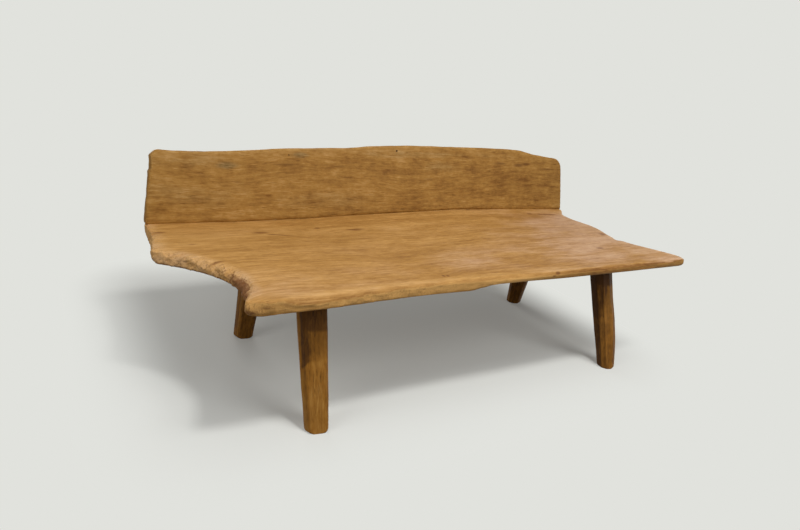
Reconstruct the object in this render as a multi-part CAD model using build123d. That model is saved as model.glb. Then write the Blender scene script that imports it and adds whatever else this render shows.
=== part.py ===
from build123d import *
import math
import os

# A slab bench: a live-edge seat board, a low leaning back and four splayed hewn legs.
# Millimetres. +X runs to the right along the seat, +Y towards the back and +Z up.

# Seat board
SEAT_LENGTH = 1950  # between the two end lines, before the corners are rounded
SEAT_DEPTH = 800  # from the front edge to the rear edge under the back
SEAT_HEIGHT = 420  # floor to the top of the seat
SEAT_THICKNESS = 40
SEAT_ARRIS_RADIUS = 6  # worn onto the upper edge
SEAT_CORNER_RADIUS = 14  # corners seen from above

# Live ends of the seat: share of the depth from the front, and set-in from the end line
LEFT_BAY = ((0, 154), (0.1, 181), (0.24, 188), (0.38, 142), (0.48, 72))
LEFT_CORNER = (0.55, 0)  # where the board is longest
LEFT_REAR = ((0.62, 26), (0.8, 34), (1, 42))
RIGHT_END = ((0, 30), (0.18, 78), (0.29, 120), (0.37, 130), (0.48, 98), (0.59, 80), (0.68, 86), (0.84, 66))
RIGHT_SHOULDER = 52  # length of the full-width corner that carries the back at the right end

# Front edge: share of its length from the left, and set-back from the front line
FRONT_EDGE = ((0, 12), (0.06, 0), (0.25, 13), (0.5, 6), (0.75, 5), (1, 14))

# The underside is hewn away towards the front, more on the right half than on the left
EDGE_THICKNESS_LEFT = 38
EDGE_THICKNESS_MIDDLE = 20  # just past the step
EDGE_THICKNESS_RIGHT = 24
EDGE_STEP_PLACE = -70  # middle of the step between the two thicknesses
EDGE_STEP_RUN = 120
EDGE_STEP_RADIUS = 70
UNDERCUT_ANGLE = 20  # slope of the hewn face from the horizontal

# The left end is hewn under too, along a straight line where the board is longest
LEFT_LIP = 16  # thickness left at the furthest point of the end
LEFT_UNDERCUT_ANGLE = 54  # slope of the hewn face from the horizontal

# Back board
BACK_HEIGHT = 274  # from the seat to the highest point of the crest
BACK_THICKNESS = 46
BACK_RECLINE_ANGLE = 11  # lean from the vertical
BACK_LEFT_INSET = 34  # from the end lines of the seat
BACK_RIGHT_INSET = 2
BACK_LEFT_END_ANGLE = 5.2  # angles of the two ends to the upright
BACK_RIGHT_END_ANGLE = 3.5
BACK_LEFT_CLIP = 20  # clipped corner at the top left
BACK_CORNER_RADIUS = 42  # rounded corner at the top right
BACK_ARRIS_RADIUS = 7  # front arris, worn round
BACK_REAR_BEVEL = 5  # rear arris, only bevelled

# Crest of the back: share of the length from the left, and drop below the highest point
CREST = ((0, 42), (0.12, 44), (0.26, 28), (0.38, 21), (0.51, 4), (0.68, 0), (0.85, 8), (0.93, 26), (1, 35))

# Legs, eight-sided, with a round tenon in a blind mortise
FRONT_LEFT_LEG_INSET = 385  # mortise centres from the end lines, at the underside of the seat
FRONT_RIGHT_LEG_INSET = 372
REAR_LEFT_LEG_INSET = 369
REAR_RIGHT_LEG_INSET = 327
FRONT_LEG_SETBACK = 132  # mortise centre behind the front line
REAR_LEG_SETBACK = 220  # mortise centre ahead of the rear edge
FRONT_SPLAY_ANGLE = 18.5  # lean of the front legs towards the front
REAR_SPLAY_ANGLE = 8.5  # lean of the rear legs towards the back
FRONT_SPREAD_ANGLE = 1  # lean of the legs towards the ends
REAR_SPREAD_ANGLE = 3.5
LEG_TOP = 86  # across the flats, at the seat
LEG_FOOT = 62  # across the flats, at the floor
LEG_SIDES = 8
LEG_CORNER_CUT = 6  # narrow flat hewn along each corner between the broad flats
FOOT_CHAMFER = 4

# Tenons, mortises and wedges
TENON_DIAMETER = 46
MORTISE_DEPTH = 25  # along the leg
JOINT_CLEARANCE = 0.15  # between a tenon, wedge or peg and the wood round it
END_GAP = 0.8  # left at the blind end of a mortise or peg hole
WEDGE_HEAD = 5  # thickness of the wedge at its broad end
WEDGE_TOE = 2.5
WEDGE_LENGTH = 17
WEDGE_WIDTH = 38

# Pegs between the seat and the back
PEG_COUNT = 5
PEG_DIAMETER = 24  # across the corners
PEG_SIDES = 8
PEG_IN_SEAT = 27
PEG_IN_BACK = 62
PEG_END_MARGIN = 170  # from the ends of the back to the outer pegs
PEG_CHAMFER = 2

UNDERSIDE = SEAT_HEIGHT - SEAT_THICKNESS
HALF_LENGTH = SEAT_LENGTH / 2
OVERCUT = 60  # how far cutting shapes run past what they cut
BACK_SEAT_DEPTH = BACK_THICKNESS / math.cos(math.radians(BACK_RECLINE_ANGLE))
BACK_FACE = SEAT_DEPTH - BACK_SEAT_DEPTH  # foot of the back's front face
BACK_LEFT = -HALF_LENGTH + BACK_LEFT_INSET
BACK_RIGHT = HALF_LENGTH - BACK_RIGHT_INSET


def seat_outline():
    """The seat seen from above, with its live ends and its gently waving front edge."""
    bay = [(-HALF_LENGTH + inset, share * SEAT_DEPTH) for share, inset in (*LEFT_BAY, LEFT_CORNER)]
    rear = [(-HALF_LENGTH + inset, share * SEAT_DEPTH) for share, inset in (LEFT_CORNER, *LEFT_REAR)]
    right = [(HALF_LENGTH - inset, share * SEAT_DEPTH) for share, inset in RIGHT_END]
    front_run = right[0][0] - bay[0][0]
    front = [(bay[0][0] + share * front_run, setback) for share, setback in FRONT_EDGE]
    bay[0] = front[0]
    right[0] = front[-1]
    shoulder_front = (HALF_LENGTH, SEAT_DEPTH - RIGHT_SHOULDER)
    rear_right = (HALF_LENGTH, SEAT_DEPTH)
    edges = [
        Spline(*front),
        Spline(*right),
        Polyline(right[-1], shoulder_front, rear_right, rear[-1]),
        Spline(*reversed(rear)),
        Spline(*reversed(bay)),
    ]
    return make_face(edges)


def front_undercut():
    """What the adze took from the underside of the front edge, sloping down towards the middle."""
    left_level = SEAT_HEIGHT - EDGE_THICKNESS_LEFT
    middle_level = SEAT_HEIGHT - EDGE_THICKNESS_MIDDLE
    right_level = SEAT_HEIGHT - EDGE_THICKNESS_RIGHT
    reach = HALF_LENGTH + OVERCUT
    floor_level = UNDERSIDE - 2 * OVERCUT
    step_start = EDGE_STEP_PLACE - EDGE_STEP_RUN / 2
    step_end = EDGE_STEP_PLACE + EDGE_STEP_RUN / 2
    line = FilletPolyline(
        (-reach, left_level), (step_start, left_level), (step_end, middle_level), (reach, right_level),
        radius=EDGE_STEP_RADIUS,
    )
    below = Polyline((reach, right_level), (reach, floor_level), (-reach, floor_level), (-reach, left_level))
    section = Plane.XZ * make_face([line, below])
    slope = math.radians(UNDERCUT_ANGLE)
    run = SEAT_THICKNESS / math.sin(slope)
    return extrude(section, amount=run, dir=(0, math.cos(slope), -math.sin(slope)))


def left_undercut():
    """The slanting plane to which the underside of the left end is hewn."""
    lean = math.radians(LEFT_UNDERCUT_ANGLE)
    lip = (-HALF_LENGTH, 0, SEAT_HEIGHT - LEFT_LIP)
    return Plane(origin=lip, x_dir=(0, 1, 0), z_dir=(math.sin(lean), 0, math.cos(lean)))


def seat_blank():
    """The seat board before any joint is cut in it."""
    board = Pos(0, 0, UNDERSIDE) * extrude(seat_outline(), amount=SEAT_THICKNESS)
    corners = [edge for edge in board.edges().filter_by(Axis.Z) if edge.center().Y < BACK_FACE]
    board = fillet(corners, SEAT_CORNER_RADIUS)
    board -= front_undercut()
    board = split(board, bisect_by=left_undercut(), keep=Keep.TOP)
    top = board.faces().sort_by(Axis.Z)[-1]
    open_edges = [edge for edge in top.outer_wire().edges() if edge.center().Y < BACK_FACE]
    return fillet(open_edges, SEAT_ARRIS_RADIUS)


def back_blank():
    """The back board standing on the seat, leaning back, before the peg holes are bored."""
    lean = math.radians(BACK_RECLINE_ANGLE)
    crest_level = BACK_HEIGHT / math.cos(lean)
    left_slope = math.tan(math.radians(BACK_LEFT_END_ANGLE))
    right_slope = math.tan(math.radians(BACK_RIGHT_END_ANGLE))
    top_left = BACK_LEFT + crest_level * left_slope
    top_right = BACK_RIGHT - crest_level * right_slope
    crest = [(top_left + share * (top_right - top_left), crest_level - drop) for share, drop in CREST]
    foot_left = (BACK_LEFT - OVERCUT * left_slope, -OVERCUT)
    foot_right = (BACK_RIGHT + OVERCUT * right_slope, -OVERCUT)
    sides = Polyline(crest[-1], foot_right, foot_left, crest[0])
    outline = make_face([Spline(*crest), sides])
    board = extrude(Plane.XZ * outline, amount=-BACK_THICKNESS)
    corners = board.edges().filter_by(Axis.Y).sort_by(Axis.Z)[-2:].sort_by(Axis.X)
    board = chamfer(corners[0], BACK_LEFT_CLIP)
    corners = board.edges().filter_by(Axis.Y).sort_by(Axis.X)
    board = fillet(corners.filter_by_position(Axis.Z, 0, crest_level)[-1], BACK_CORNER_RADIUS)
    front_rim = board.faces().sort_by(Axis.Y)[0].outer_wire().edges()
    board = fillet([edge for edge in front_rim if edge.center().Z > -OVERCUT], BACK_ARRIS_RADIUS)
    rear_rim = board.faces().sort_by(Axis.Y)[-1].outer_wire().edges()
    board = chamfer([edge for edge in rear_rim if edge.center().Z > -OVERCUT], BACK_REAR_BEVEL)
    board = Pos(0, BACK_FACE, SEAT_HEIGHT) * Rot(-BACK_RECLINE_ANGLE, 0, 0) * board
    return split(board, bisect_by=Plane.XY.offset(SEAT_HEIGHT), keep=Keep.TOP)


def leg_plane(x, y, spread_angle, splay_angle):
    """A plane at the mortise mouth, with its Z axis up along the leg."""
    across = -math.copysign(math.tan(math.radians(spread_angle)), x)
    up = Vector(across, math.tan(math.radians(splay_angle)), 1).normalized()
    return Plane(origin=(x, y, UNDERSIDE), x_dir=Vector(0, 1, 0).cross(up).normalized(), z_dir=up)


def leg_section(width):
    """An eight-sided section with its corners hewn off."""
    shape = RegularPolygon(radius=width / 2, side_count=LEG_SIDES, major_radius=False)
    return chamfer(shape.vertices(), LEG_CORNER_CUT)


def kerf_shape(plane, width, clearance):
    """The wedge's own taper in the end of the tenon, grown by a clearance on each face."""
    tenon_length = MORTISE_DEPTH - END_GAP
    head = WEDGE_HEAD / 2 + clearance
    toe = WEDGE_TOE / 2 + clearance
    low = tenon_length - WEDGE_LENGTH - clearance
    taper = Polyline((-toe, low), (toe, low), (head, tenon_length), (-head, tenon_length), close=True)
    return plane * extrude(Plane.XZ * make_face(taper), amount=width / 2, both=True)


def make_leg(plane):
    """One leg: a tapered shaft cut level at the seat and the floor, with a split tenon on top."""
    leg_length = UNDERSIDE / plane.z_dir.Z
    slope = (LEG_TOP - LEG_FOOT) / leg_length
    top = Pos(0, 0, OVERCUT) * leg_section(LEG_TOP + slope * OVERCUT)
    bottom = Pos(0, 0, -leg_length - OVERCUT) * leg_section(LEG_FOOT - slope * OVERCUT)
    shaft = plane * loft([bottom, top], ruled=True)
    shaft = split(shaft, bisect_by=Plane.XY, keep=Keep.TOP)
    shaft = split(shaft, bisect_by=Plane.XY.offset(UNDERSIDE), keep=Keep.BOTTOM)
    foot = shaft.faces().sort_by(Axis.Z)[0]
    shaft = chamfer(foot.outer_wire().edges(), FOOT_CHAMFER)
    tenon_length = MORTISE_DEPTH - END_GAP
    root = TENON_DIAMETER / 2
    tenon = Pos(0, 0, (tenon_length - root) / 2) * Cylinder(root, tenon_length + root)
    return shaft + plane * tenon - kerf_shape(plane, TENON_DIAMETER, JOINT_CLEARANCE)


def mortise(plane):
    """The blind hole for one tenon."""
    bore = TENON_DIAMETER / 2 + JOINT_CLEARANCE
    return plane * Pos(0, 0, (MORTISE_DEPTH - OVERCUT) / 2) * Cylinder(bore, MORTISE_DEPTH + OVERCUT)


def peg_planes():
    """Planes on the seat under the middle of the back, one for each peg, leaning as the back does."""
    up = Vector(0, math.sin(math.radians(BACK_RECLINE_ANGLE)), math.cos(math.radians(BACK_RECLINE_ANGLE)))
    first = BACK_LEFT + PEG_END_MARGIN
    step = (BACK_RIGHT - BACK_LEFT - 2 * PEG_END_MARGIN) / (PEG_COUNT - 1)
    middle = BACK_FACE + BACK_SEAT_DEPTH / 2
    places = [first + index * step for index in range(PEG_COUNT)]
    return [Plane(origin=(place, middle, SEAT_HEIGHT), x_dir=(1, 0, 0), z_dir=up) for place in places]


def peg_hole(plane):
    """The round hole for one peg, in the seat and in the back."""
    length = PEG_IN_SEAT + PEG_IN_BACK + 2 * END_GAP
    bore = PEG_DIAMETER / 2 + JOINT_CLEARANCE
    return plane * Pos(0, 0, (PEG_IN_BACK - PEG_IN_SEAT) / 2) * Cylinder(bore, length)


def make_peg(plane):
    """A riven peg, eight-sided so that its corners bite in the round hole, with its ends pointed a little."""
    section = RegularPolygon(radius=PEG_DIAMETER / 2, side_count=PEG_SIDES)
    peg = Pos(0, 0, -PEG_IN_SEAT) * extrude(section, amount=PEG_IN_SEAT + PEG_IN_BACK)
    ends = [edge for face in peg.faces().filter_by(Axis.Z) for edge in face.edges()]
    return plane * chamfer(ends, PEG_CHAMFER)


front_left_x = FRONT_LEFT_LEG_INSET - HALF_LENGTH
front_right_x = HALF_LENGTH - FRONT_RIGHT_LEG_INSET
rear_left_x = REAR_LEFT_LEG_INSET - HALF_LENGTH
rear_right_x = HALF_LENGTH - REAR_RIGHT_LEG_INSET
front_leg_y = FRONT_LEG_SETBACK
rear_leg_y = SEAT_DEPTH - REAR_LEG_SETBACK
legs = {
    "front_left": leg_plane(front_left_x, front_leg_y, FRONT_SPREAD_ANGLE, FRONT_SPLAY_ANGLE),
    "front_right": leg_plane(front_right_x, front_leg_y, FRONT_SPREAD_ANGLE, FRONT_SPLAY_ANGLE),
    "rear_left": leg_plane(rear_left_x, rear_leg_y, REAR_SPREAD_ANGLE, -REAR_SPLAY_ANGLE),
    "rear_right": leg_plane(rear_right_x, rear_leg_y, REAR_SPREAD_ANGLE, -REAR_SPLAY_ANGLE),
}
pegs = peg_planes()

seat = seat_blank()
for plane in legs.values():
    seat -= mortise(plane)
back = back_blank()
for plane in pegs:
    seat -= peg_hole(plane)
    back -= peg_hole(plane)

pieces = {"seat_slab": seat, "back_slab": back}
for name, plane in legs.items():
    pieces[name + "_leg"] = make_leg(plane)
    pieces[name + "_wedge"] = kerf_shape(plane, WEDGE_WIDTH, 0)
for number, plane in enumerate(pegs, start=1):
    pieces[f"back_peg_{number}"] = make_peg(plane)

# The origin is on the floor under the middle of the whole bench.
whole = Compound(children=[piece.solid() for piece in pieces.values()]).bounding_box()
to_origin = Pos(-whole.center().X, -whole.center().Y, -whole.min.Z)

os.makedirs("parts", exist_ok=True)
for name, piece in pieces.items():
    export_step(to_origin * piece, f"parts/{name}.step")
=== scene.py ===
import itertools
import math

import bmesh
import bpy
import numpy as np
from mathutils import Matrix, Vector, kdtree


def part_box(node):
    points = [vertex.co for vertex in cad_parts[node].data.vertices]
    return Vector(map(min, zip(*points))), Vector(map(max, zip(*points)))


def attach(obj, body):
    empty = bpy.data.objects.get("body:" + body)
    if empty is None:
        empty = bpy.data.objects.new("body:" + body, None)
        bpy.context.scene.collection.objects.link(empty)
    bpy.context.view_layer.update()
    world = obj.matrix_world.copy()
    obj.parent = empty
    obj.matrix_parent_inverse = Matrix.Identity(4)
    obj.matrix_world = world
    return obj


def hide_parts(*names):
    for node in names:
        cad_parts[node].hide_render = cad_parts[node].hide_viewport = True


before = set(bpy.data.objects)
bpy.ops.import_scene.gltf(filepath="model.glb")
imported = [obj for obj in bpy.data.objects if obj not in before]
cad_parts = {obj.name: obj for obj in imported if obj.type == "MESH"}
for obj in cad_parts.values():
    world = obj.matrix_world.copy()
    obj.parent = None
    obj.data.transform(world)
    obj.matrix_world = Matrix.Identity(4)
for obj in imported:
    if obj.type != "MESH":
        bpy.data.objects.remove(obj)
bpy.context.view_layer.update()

# Places that the looks are worked out from, in metres
SEAT_LOW, SEAT_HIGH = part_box("seat_slab")
BACK_LOW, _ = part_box("back_slab")
SEAT_TOP = SEAT_HIGH.z
SEAT_UNDER = SEAT_LOW.z
FRONT_LINE = SEAT_LOW.y
BACK_FOOT = BACK_LOW.y  # front line of the back where it stands on the seat
BACK_BASE = np.array([0, BACK_FOOT, SEAT_TOP])
BACK_LEAN = math.radians(11)
BACK_UP = np.array([0, math.sin(BACK_LEAN), math.cos(BACK_LEAN)])
BACK_OUT = np.array([0, -math.cos(BACK_LEAN), math.sin(BACK_LEAN)])
LEGS = ("front_left_leg", "front_right_leg", "rear_left_leg", "rear_right_leg")

# How finely each kind of piece is divided before it is shaped; the seat's rim is divided once more
SEAT_FINENESS = 0.0065
SEAT_RIM = 0.022  # width of that rim
BACK_FINENESS = 0.005
LEG_FINENESS = 0.0025
SAME_POINT = 1e-5  # points that lie closer than this are one
CUT_ROOM = 0.002  # points that lie this near a level cut belong to it


def seen(red, green, blue):
    """A colour as the eye sees it, 0 to 255, turned into the linear values that a shader takes."""
    shares = [value / 255 for value in (red, green, blue)]
    linear = [s / 12.92 if s <= 0.04045 else ((s + 0.055) / 1.055) ** 2.4 for s in shares]
    return (*linear, 1)


BACKDROP = seen(225, 226, 221)


# Shader building

class Shade:
    """One value, colour or direction inside a finish. Sums on values add Math nodes."""

    def __init__(self, finish, socket):
        self.finish = finish
        self.socket = socket

    def sum_of(self, operation, first, second=0):
        return self.finish.node("ShaderNodeMath", {"operation": operation}, {0: first, 1: second})

    def __add__(self, other):
        return self.sum_of("ADD", self, other)

    def __sub__(self, other):
        return self.sum_of("SUBTRACT", self, other)

    def __rsub__(self, other):
        return self.sum_of("SUBTRACT", other, self)

    def __mul__(self, other):
        return self.sum_of("MULTIPLY", self, other)

    __radd__ = __add__
    __rmul__ = __mul__

    def __abs__(self):
        return self.sum_of("ABSOLUTE", self)

    def at_least(self, other):
        return self.sum_of("MAXIMUM", self, other)

    def rise(self, low, high):
        """0 below low, 1 above high, and a smooth rise between."""
        limits = {"Value": self, "From Min": low, "From Max": high}
        return self.finish.node("ShaderNodeMapRange", {"interpolation_type": "SMOOTHSTEP"}, limits)


class Finish:
    """The nodes of a material or of the world, put together one by one."""

    def __init__(self, owner):
        self.owner = owner
        owner.use_nodes = True
        self.tree = owner.node_tree
        self.tree.nodes.clear()

    def node(self, kind, settings=None, sockets=None, output=0):
        """Adds a node: its settings first, then the values or links of its sockets."""
        made = self.tree.nodes.new(kind)
        for name, value in (settings or {}).items():
            if name == "stops":
                self.set_stops(made.color_ramp, value)
            else:
                setattr(made, name, value)
        for key, value in (sockets or {}).items():
            if isinstance(value, Shade):
                self.tree.links.new(value.socket, made.inputs[key])
            else:
                made.inputs[key].default_value = value
        return Shade(self, made.outputs[output]) if made.outputs else None

    def set_stops(self, ramp, stops):
        while len(ramp.elements) < len(stops):
            ramp.elements.new(1)
        for element, (position, colour) in zip(ramp.elements, stops):
            element.position = position
            element.color = colour

    def attribute(self, name, output="Fac"):
        return self.node("ShaderNodeAttribute", {"attribute_name": name}, output=output)

    def vector(self, operation, first, second=(0, 0, 0), output=0):
        return self.node("ShaderNodeVectorMath", {"operation": operation}, {0: first, 1: second}, output)

    def stretch(self, vector, scales):
        return self.vector("MULTIPLY", vector, scales)

    def noise(self, vector, detail=2.0, roughness=0.5, output="Fac"):
        sockets = {"Vector": vector, "Scale": 1.0, "Detail": detail, "Roughness": roughness}
        return self.node("ShaderNodeTexNoise", {"noise_dimensions": "3D"}, sockets, output)

    def blend(self, factor, first, second):
        settings = {"data_type": "RGBA", "blend_type": "MIX"}
        return self.node("ShaderNodeMix", settings, {0: factor, 6: first, 7: second}, 2)

    def ramp(self, value, stops):
        return self.node("ShaderNodeValToRGB", {"stops": stops}, {0: value})

    def parts(self, vector):
        """The three parts of a vector as values."""
        split = self.node("ShaderNodeSeparateXYZ", sockets={0: vector})
        return [Shade(self, socket) for socket in split.socket.node.outputs]

    def bumps(self, height, distance):
        return self.node("ShaderNodeBump", sockets={"Height": height, "Strength": 1.0, "Distance": distance})

    def surface(self, shader):
        world = isinstance(self.owner, bpy.types.World)
        kind = "ShaderNodeOutputWorld" if world else "ShaderNodeOutputMaterial"
        self.node(kind, sockets={"Surface": shader})
        return self.owner


# Numbers for shaping

# Unrelated numbers that scatter the cells of the lumps, so that neighbours differ
CELL_SCATTER = np.array([127.1, 311.7, 74.7])
SEED_SCATTER = 53.3
SINE_SCATTER = 43758.5453


def ease(values, low, high):
    """0 below low, 1 above high, and a smooth rise between."""
    share = np.clip((values - low) / (high - low), 0, 1)
    return share * share * (3 - 2 * share)


def window(values, low, high, fade):
    """1 between low and high, fading to 0 on both sides."""
    return ease(values, low - fade, low) * (1 - ease(values, high, high + fade))


def cell_number(cells, seed):
    """A repeatable number between 0 and 1 for each whole-number cell."""
    mixed = cells @ CELL_SCATTER + seed * SEED_SCATTER
    return np.abs(np.modf(np.sin(mixed) * SINE_SCATTER)[0])


def lumps(points, seed):
    """Smooth unevenness between -1 and 1, about one lump to a unit."""
    base = np.floor(points)
    part = points - base
    soft = part * part * (3 - 2 * part)
    total = np.zeros(len(points))
    for corner in itertools.product((0, 1), repeat=3):
        share = np.prod(np.where(np.array(corner) == 1, soft, 1 - soft), axis=1)
        total += share * cell_number(base + corner, seed)
    return 2 * total - 1


def rough(points, seed, layers=3):
    """Lumps with finer lumps on them, each layer half as high."""
    return sum(lumps(points * 2.1 ** layer, seed + layer) * 0.5 ** layer for layer in range(layers))


def spots(points, marks):
    """How strongly each point lies in the marks: centre, half-sizes and strength of each."""
    total = np.zeros(len(points))
    for centre, halves, strength in marks:
        far = np.sum(((points - centre) / halves) ** 2, axis=1)
        total = np.maximum(total, strength * np.exp(-far))
    return total


def swirled(lines, x, knots):
    """Grain lines across a board, bent round its knots: place, half-sizes and height of each bend."""
    bent = lines.copy()
    for (knot_x, knot_line), (half_x, half_line), height in knots:
        far = ((x - knot_x) / half_x) ** 2 + ((lines - knot_line) / half_line) ** 2
        bent += height * np.exp(-far)
    return bent


# Meshes

def carved_from(node, name, fineness):
    """A finely divided copy of a piece, ready to be shaped point by point."""
    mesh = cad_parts[node].data.copy()
    mesh.materials.clear()
    blank = bmesh.new()
    blank.from_mesh(mesh)
    bmesh.ops.remove_doubles(blank, verts=blank.verts, dist=SAME_POINT)
    blank.to_mesh(mesh)
    blank.free()
    piece = bpy.data.objects.new(name, mesh)
    bpy.context.scene.collection.objects.link(piece)
    fine = piece.modifiers.new("fine", "REMESH")
    fine.mode = "VOXEL"
    fine.voxel_size = fineness
    evaluated = piece.evaluated_get(bpy.context.evaluated_depsgraph_get())
    shaped = bpy.data.meshes.new_from_object(evaluated)
    piece.modifiers.clear()
    piece.data = shaped
    bpy.data.meshes.remove(mesh)
    return piece


def divide(piece, wanted):
    """Divides the faces between the wanted points once more."""
    fine = bmesh.new()
    fine.from_mesh(piece.data)
    edges = [edge for edge in fine.edges if all(wanted[vert.index] for vert in edge.verts)]
    bmesh.ops.subdivide_edges(fine, edges=edges, cuts=1, use_grid_fill=True)
    fine.to_mesh(piece.data)
    fine.free()


def points_of(piece):
    flat = np.empty(len(piece.data.vertices) * 3)
    piece.data.vertices.foreach_get("co", flat)
    return flat.reshape(-1, 3)


def normals_of(piece):
    flat = np.empty(len(piece.data.vertices) * 3)
    piece.data.vertices.foreach_get("normal", flat)
    return flat.reshape(-1, 3)


def move_points(piece, points):
    piece.data.vertices.foreach_set("co", points.astype(np.float32).ravel())
    piece.data.update()


def soften(piece, shares, rounds):
    """Evens out the surface where the shares are above 0, as long wear does."""
    edges = np.empty(len(piece.data.edges) * 2, dtype=np.int64)
    piece.data.edges.foreach_get("vertices", edges)
    ends = np.concatenate([edges.reshape(-1, 2), edges.reshape(-1, 2)[:, ::-1]])
    counts = np.bincount(ends[:, 0])[:, None]
    points = points_of(piece)
    for _ in range(rounds):
        sums = [np.bincount(ends[:, 0], weights=points[ends[:, 1], axis]) for axis in range(3)]
        points += shares[:, None] * (np.column_stack(sums) / counts - points)
    move_points(piece, points)


def keep_values(piece, **stores):
    """Stores one number, or one vector, for each point of a piece, for its finish to read."""
    for name, values in stores.items():
        kind, key = ("FLOAT", "value") if values.ndim == 1 else ("FLOAT_VECTOR", "vector")
        store = piece.data.attributes.new(name, kind, "POINT")
        store.data.foreach_set(key, values.astype(np.float32).ravel())


def dress(piece, node, material):
    """Puts a finished piece in the place of its plain one."""
    piece.data.materials.append(material)
    piece.data.shade_smooth()
    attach(piece, "root")
    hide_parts(node)


def leg_axis(name):
    """Middle of the foot, and the direction up the leg."""
    points = points_of(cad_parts[name])
    foot = points[points[:, 2] < CUT_ROOM].mean(axis=0)
    shoulder = points[np.abs(points[:, 2] - SEAT_UNDER) < CUT_ROOM].mean(axis=0)
    up = shoulder - foot
    return foot, up / np.linalg.norm(up)


# Joint line between the seat and the back

JOINT_PLACES = [-0.97, -0.63, -0.37, -0.04, 0.16, 0.33, 0.49, 0.97]
JOINT_RISES = [-0.014, -0.015, -0.010, -0.001, 0.004, 0.010, 0.007, -0.004]


def joint_rise(x):
    """How far the hewn joint line lies above or below the level of the seat."""
    return np.interp(x, JOINT_PLACES, JOINT_RISES)


# Seat

LIVE_END = -0.76  # the rough left end lies beyond this, behind the front lobe
LOBE_BACK = -0.36  # the front lobe of the left end lies ahead of this
CORNER_BACK = 0.03  # behind this the left end is cut clean
WANE_START, WANE_END = -0.66, -0.28  # where the front arris is lost to wane, and is only bevelled beyond
LOBE = np.array([-0.80, -0.40, 0.40])  # worn front left corner
LOBE_TIP = np.array([-0.82, -0.41, 0.39])
LOBE_FOOT = np.array([-0.79, -0.41, 0.385])  # where it hangs lowest
BAY = np.array([-0.800, -0.265, 0.40])  # bark pocket in the left end
BAY_SIDE = np.array([-0.822, -0.195, 0.40])  # bark on the rim behind the pocket
BAY_RIM = np.array([-0.845, -0.235, 0.40])  # where the rim behind the pocket is fuller
REAR_CORNER = np.array([-0.955, 0.105, 0.40])  # where the left end is fuller, behind its corner
END_FOOT = np.array([-0.95, 0.185, 0.385])  # and lower down, behind that
TIP = np.array([0.955, -0.395, 0.40])  # worn round corner at the right end of the front edge
NICK = np.array([0.848, -0.135, SEAT_TOP])  # chipped place in the right end
RIGHT_REAR = np.array([0.95, 0.29, 0.40])  # where the right end is fuller, under the end of the back
MORTISE_ROOM = 0.05  # round each leg, where upright faces belong to its mortise
PAST_LOBE = (-0.76, -0.58)  # between these the front edge passes from the lobe into its plain run

# How far each kind of wear on the top arris reaches inwards, and how far it goes down
WANE_WEAR = (0.022, 0.022)
BEVEL_WEAR = (0.011, 0.010)
LOBE_WEAR = (0.018, 0.012)
CRUMBLED_WEAR = (0.034, 0.021)
BAY_WEAR = (0.056, 0.034)

# Places where the seat is fuller than its plain board: place, half-sizes, and the move there
FULLER_PLACES = [
    (REAR_CORNER, (0.05, 0.055, 0.2), (-0.015, 0, 0)),
    (END_FOOT, (0.05, 0.065, 0.025), (-0.012, 0, 0)),
    (LOBE_FOOT, (0.05, 0.04, 0.02), (0, 0, -0.005)),
    (NICK, (0.06, 0.06, 0.2), (0.006, 0, 0)),
    (TIP, (0.05, 0.05, 0.2), (0.017, 0, 0)),
    (RIGHT_REAR, (0.05, 0.05, 0.2), (0.006, 0, 0)),
]
BAY_RIM_MOVE = 0.007  # outwards
LEFT_REAR_MOVE = 0.004  # to the left, along the end behind its corner
RIGHT_FRONT_MOVE = 0.0025  # downwards, along the right part of the front edge
SOFT_ROUNDS = 25  # of evening out the worn corners


def rim_of(points, outward):
    """Distance of each point from the free edge of the seat, seen from above, and the way inwards there."""
    upright = (np.abs(outward[:, 2]) < 0.4) & (points[:, 1] < BACK_FOOT - 0.01)
    for name in LEGS:
        foot, up = leg_axis(name)
        mouth = foot + up * (SEAT_UNDER / up[2])
        upright &= np.linalg.norm(points[:, :2] - mouth[:2], axis=1) > MORTISE_ROOM
    rim = np.flatnonzero(upright)
    tree = kdtree.KDTree(len(rim))
    for place, (x, y, _) in enumerate(points[rim]):
        tree.insert((x, y, 0), place)
    tree.balance()
    found = [tree.find((x, y, 0)) for x, y, _ in points]
    distance = np.array([far for _, _, far in found])
    inward = -outward[rim[[place for _, place, _ in found]]]
    inward[:, 2] = 0
    return distance, inward / np.linalg.norm(inward, axis=1)[:, None]


def round_off(depth, distance, inward, reach, drop, bow=2.0):
    """Wears an arris off, by reach from the edge and by drop into the depth, and gives the two moves.

    Where bow is 1 it becomes a bevel, and where bow is 2 it becomes round.
    """
    across = np.clip(1 - distance / reach, 0, None)
    down = np.clip(1 - depth / drop, 0, None)
    beyond = 1 - 1 / np.maximum((across ** bow + down ** bow) ** (1 / bow), 1)
    return inward * (reach * across * beyond)[:, None], drop * down * beyond


def left_end(points):
    """1 on the rough left end of the seat, fading out along its front lobe."""
    beyond = 1 - ease(points[:, 0], LIVE_END, LIVE_END + 0.06)
    return beyond * ease(points[:, 1], LOBE_BACK - 0.04, LOBE_BACK + 0.04)


def front_edge(points):
    """1 along the front edge of the seat."""
    return 1 - ease(points[:, 1] - FRONT_LINE, 0.03, 0.07)


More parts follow.
